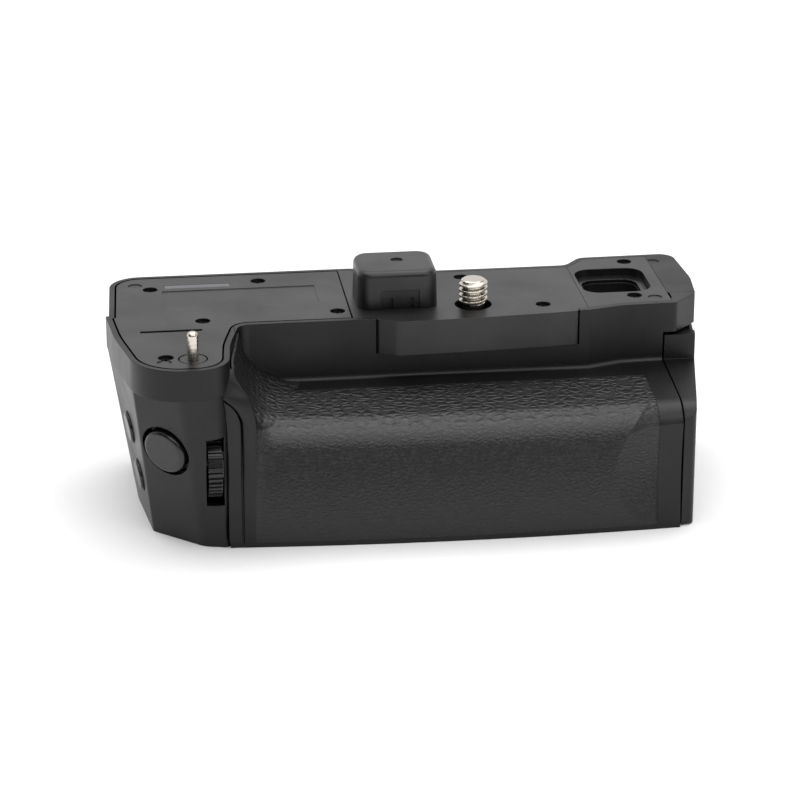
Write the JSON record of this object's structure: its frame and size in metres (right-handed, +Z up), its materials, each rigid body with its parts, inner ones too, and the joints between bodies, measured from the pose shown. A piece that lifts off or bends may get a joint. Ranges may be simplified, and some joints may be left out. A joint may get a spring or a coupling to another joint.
{
  "type": "camera battery grip",
  "caption": "Camera battery grip with a leather-covered handhold, a tripod screw turned by a wheel, a capped connector, a hinged battery door, buttons, dials and a joystick.",
  "frame": {"origin": "on the axis of the tripod socket, in the plane that the grip stands on", "axes": "+X along the grip to the battery door, -Y to the leather side, +Z up to the camera"},
  "size_m": [0.1335, 0.0643, 0.0527],
  "materials": {
    "shell": "moulded black, fine satin texture",
    "deck": "moulded black, slightly smoother than the casings",
    "leatherette": "embossed black grained covering",
    "control": "smooth black button plastic",
    "dial": "ribbed black dial plastic",
    "soft_rubber": "soft black rubber",
    "steel": "bright turned steel",
    "screw_black": "blackened steel screw",
    "gold": "gold-plated contact",
    "inner": "plain black inner moulding",
    "metal_inner": "pressed metal",
    "board": "green circuit board",
    "flex": "amber polyimide",
    "brass_insert": "turned brass",
    "plate_grey": "dark grey sticker stock",
    "catch": "light grey moulding"
  },
  "bodies": {
    "grip": {"control_housing": "shell", "front_shell": "shell", "front_leather": "leatherette", "rear_shell": "shell", "thumb_rest": "soft_rubber", "base_plate": "shell", "base_pad": "soft_rubber", "tripod_socket": "brass_insert", "base_screws": "screw_black", "top_cover_left": "deck", "centre_deck": "deck", "top_cover_right": "deck", "cap_holder_seal": "control", "nameplate": "plate_grey", "guide_pin": "steel", "guide_pin_collar": "deck", "top_screws": "screw_black", "connector_block": "inner", "connector_contacts": "gold", "chassis": "metal_inner", "screw_bush": "brass_insert", "wheel_axle": "steel", "battery_tray": "inner", "bay_frame": "inner", "battery_contacts": "gold", "contact_block": "inner", "door_pin": "steel", "shutter_board": "board", "end_board": "board", "front_dial_bracket": "metal_inner", "control_board": "board", "rear_dial_bracket": "metal_inner", "rear_board": "board", "button_switches": "inner", "joystick_base": "inner", "main_board": "board", "flex_cable": "flex"},
    "tripod_screw": {"tripod_screw": "steel", "screw_gear": "inner"},
    "fixing_wheel": {"fixing_wheel": "dial"},
    "connector_cap": {"connector_cap": "deck"},
    "battery_door": {"battery_door": "shell", "door_plate": "inner", "door_seal": "soft_rubber"},
    "door_latch": {"door_latch": "control"},
    "battery_catch": {"battery_catch": "catch"},
    "shutter_button": {"shutter_button": "control"},
    "end_button_upper": {"end_button_upper": "control"},
    "end_button_lower": {"end_button_lower": "control"},
    "front_dial": {"front_dial": "dial"},
    "rear_dial": {"rear_dial": "dial"},
    "af_button": {"af_button": "control"},
    "lock_lever": {"lock_lever": "control"},
    "joystick_gimbal": {"joystick_gimbal": "inner"},
    "joystick_cap": {"joystick_cap": "soft_rubber"}
  },
  "joints": [
    {"name": "wheel_turn", "type": "hinge", "parent": "grip", "child": "fixing_wheel", "pos_m": [0, 0.014, 0.037], "axis": [0, 0, 1], "continuous": true},
    {"name": "screw_turn", "type": "hinge", "parent": "grip", "child": "tripod_screw", "pos_m": [0, 0, 0.03], "axis": [0, 0, 1], "continuous": true},
    {"name": "cap_lift", "type": "slide", "parent": "grip", "child": "connector_cap", "axis": [0, 0, 1], "range_m": [0, 0.03]},
    {"name": "door_swing", "type": "hinge", "parent": "grip", "child": "battery_door", "pos_m": [0.0443, 0.0254, 0.018], "axis": [0, 0, 1], "range_deg": [0, 100]},
    {"name": "latch_slide", "type": "slide", "parent": "battery_door", "child": "door_latch", "axis": [0, 1, 0], "range_m": [0, 0.003], "stiffness_N_per_m": 60},
    {"name": "catch_slide", "type": "slide", "parent": "grip", "child": "battery_catch", "axis": [0, 1, 0], "range_m": [0, 0.0025], "stiffness_N_per_m": 60},
    {"name": "shutter_press", "type": "slide", "parent": "grip", "child": "shutter_button", "axis": [0.6309, 0.7392, 0.2356], "range_m": [0, 0.0009], "stiffness_N_per_m": 400},
    {"name": "end_upper_press", "type": "slide", "parent": "grip", "child": "end_button_upper", "axis": [0.9786, 0.1464, 0.1444], "range_m": [0, 0.0006], "stiffness_N_per_m": 400},
    {"name": "end_lower_press", "type": "slide", "parent": "grip", "child": "end_button_lower", "axis": [0.9803, 0.1381, 0.1409], "range_m": [0, 0.0006], "stiffness_N_per_m": 400},
    {"name": "front_dial_turn", "type": "hinge", "parent": "grip", "child": "front_dial", "pos_m": [-0.0602, -0.0241, 0.0189], "axis": [1, 0, 0], "continuous": true},
    {"name": "rear_dial_turn", "type": "hinge", "parent": "grip", "child": "rear_dial", "pos_m": [-0.066, 0.0218, 0.0189], "axis": [1, 0, 0], "continuous": true},
    {"name": "af_press", "type": "slide", "parent": "grip", "child": "af_button", "axis": [0, -1, 0], "range_m": [0, 0.0006], "stiffness_N_per_m": 400},
    {"name": "lock_slide", "type": "slide", "parent": "grip", "child": "lock_lever", "axis": [1, 0, 0], "range_m": [0, 0.003]},
    {"name": "stick_tilt_x", "type": "hinge", "parent": "grip", "child": "joystick_gimbal", "pos_m": [-0.047, 0.0228, 0.015], "axis": [1, 0, 0], "range_deg": [-12, 12], "stiffness_Nm_per_rad": 0.02},
    {"name": "stick_tilt_z", "type": "hinge", "parent": "joystick_gimbal", "child": "joystick_cap", "pos_m": [-0.047, 0.0228, 0.015], "axis": [0, 0, 1], "range_deg": [-12, 12], "stiffness_Nm_per_rad": 0.02}
  ],
  "couplings": [
    {"joint": "screw_turn", "follows": "wheel_turn", "ratio": -2.7333}
  ]
}
